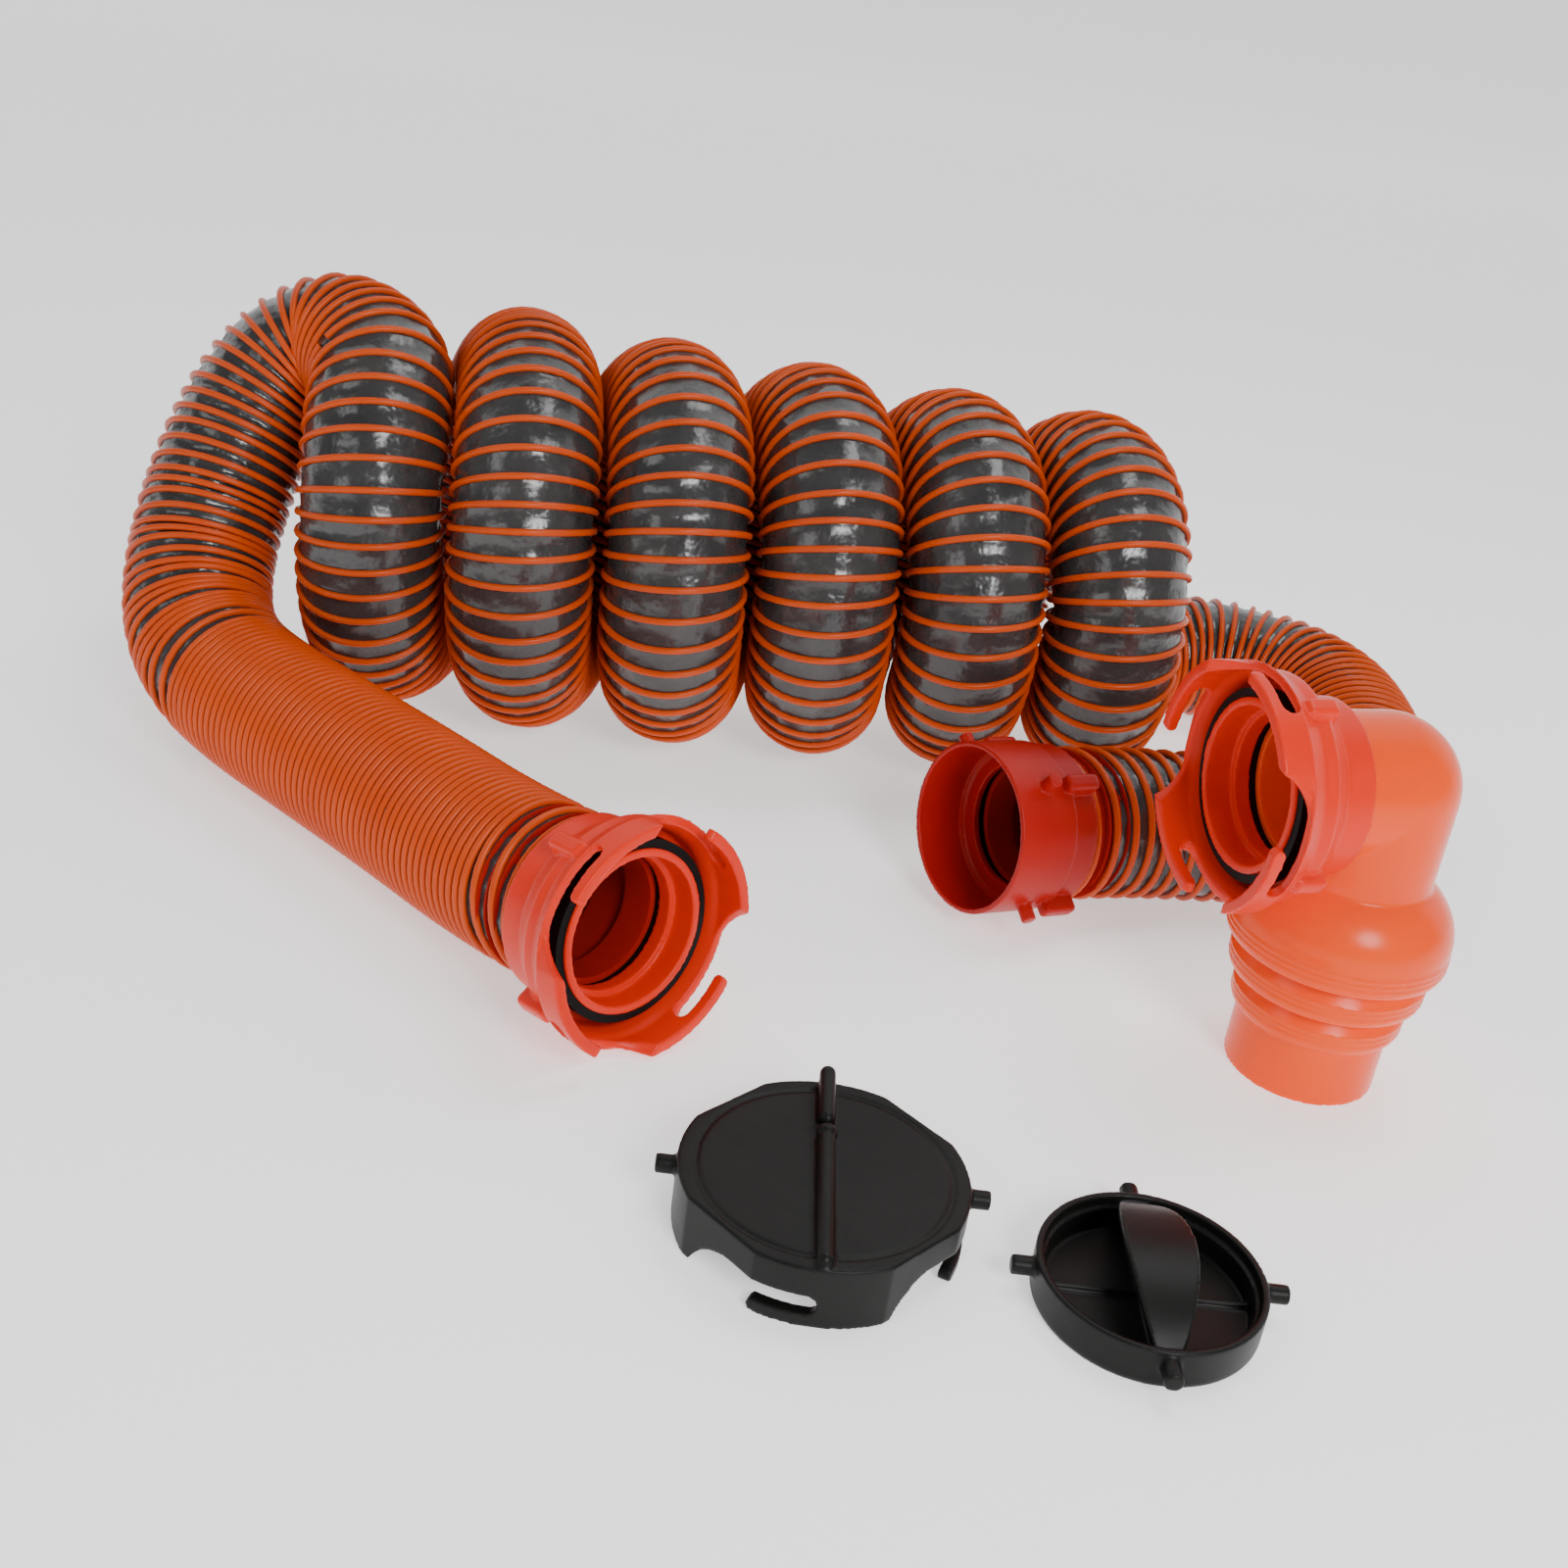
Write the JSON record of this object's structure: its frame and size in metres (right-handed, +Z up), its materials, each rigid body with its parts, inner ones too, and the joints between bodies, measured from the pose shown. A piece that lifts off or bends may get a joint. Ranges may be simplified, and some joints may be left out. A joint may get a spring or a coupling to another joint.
{
  "type": "sewer hose kit",
  "caption": "Coiled corrugated waste hose with swivelling bayonet and lug fittings, a swivelling elbow with stepped adapter and two caps.",
  "frame": {"origin": "on the floor, below the middle of the fittings, elbow and caps", "axes": "+Z up, +Y from the caps towards the coil, +X towards the elbow"},
  "size_m": [0.8185, 0.7392, 0.262],
  "materials": {
    "hose_vinyl": "glossy grey vinyl",
    "hose_wire": "orange coated spring wire",
    "nipple_plastic": "moulded plastic",
    "seal_rubber": "matt black rubber",
    "clip_steel": "spring steel",
    "bayonet_orange": "satin moulded plastic",
    "lug_red": "satin moulded plastic",
    "elbow_orange": "glossy moulded plastic",
    "cap_black": "satin moulded plastic"
  },
  "bodies": {
    "hose": {"hose_coil": "hose_vinyl", "hose_front_run": "hose_vinyl", "hose_back_run": "hose_vinyl", "bayonet_nipple": "nipple_plastic", "bayonet_swivel_seal": "seal_rubber", "lug_nipple": "nipple_plastic", "lug_swivel_seal": "seal_rubber"},
    "bayonet_head": {"bayonet_ring": "bayonet_orange", "bayonet_gasket": "seal_rubber", "bayonet_retaining_ring": "clip_steel"},
    "lug_head": {"lug_ring": "lug_red", "lug_retaining_ring": "clip_steel"},
    "elbow": {"elbow_body": "elbow_orange", "elbow_swivel_seal": "seal_rubber"},
    "elbow_head": {"elbow_bayonet_ring": "bayonet_orange", "elbow_gasket": "seal_rubber", "elbow_retaining_ring": "clip_steel"},
    "cap_bayonet_body": {"cap_bayonet": "cap_black", "cap_bayonet_gasket": "seal_rubber"},
    "cap_lug_body": {"cap_lug": "cap_black"}
  },
  "joints": [
    {"name": "bayonet_swivel", "type": "hinge", "parent": "hose", "child": "bayonet_head", "pos_m": [-0.16874, -0.00742, 0.05493], "axis": [0.737, -0.6648, 0.1219], "continuous": true},
    {"name": "lug_swivel", "type": "hinge", "parent": "hose", "child": "lug_head", "pos_m": [0.03475, 0.15193, 0.05286], "axis": [-0.8341, -0.5417, 0.1045], "continuous": true},
    {"name": "elbow_lift", "type": "slide", "parent": "hose", "child": "elbow", "axis": [0, 0, 1], "range_m": [0, 0.27]},
    {"name": "elbow_swivel", "type": "hinge", "parent": "elbow", "child": "elbow_head", "pos_m": [0.13192, 0.0223, 0.155], "axis": [-0.9527, -0.304, 0], "continuous": true},
    {"name": "cap_bayonet_lift", "type": "slide", "parent": "hose", "child": "cap_bayonet_body", "axis": [0, 0, 1], "range_m": [0, 0.27]},
    {"name": "cap_lug_lift", "type": "slide", "parent": "hose", "child": "cap_lug_body", "axis": [0, 0, 1], "range_m": [0, 0.27]}
  ]
}
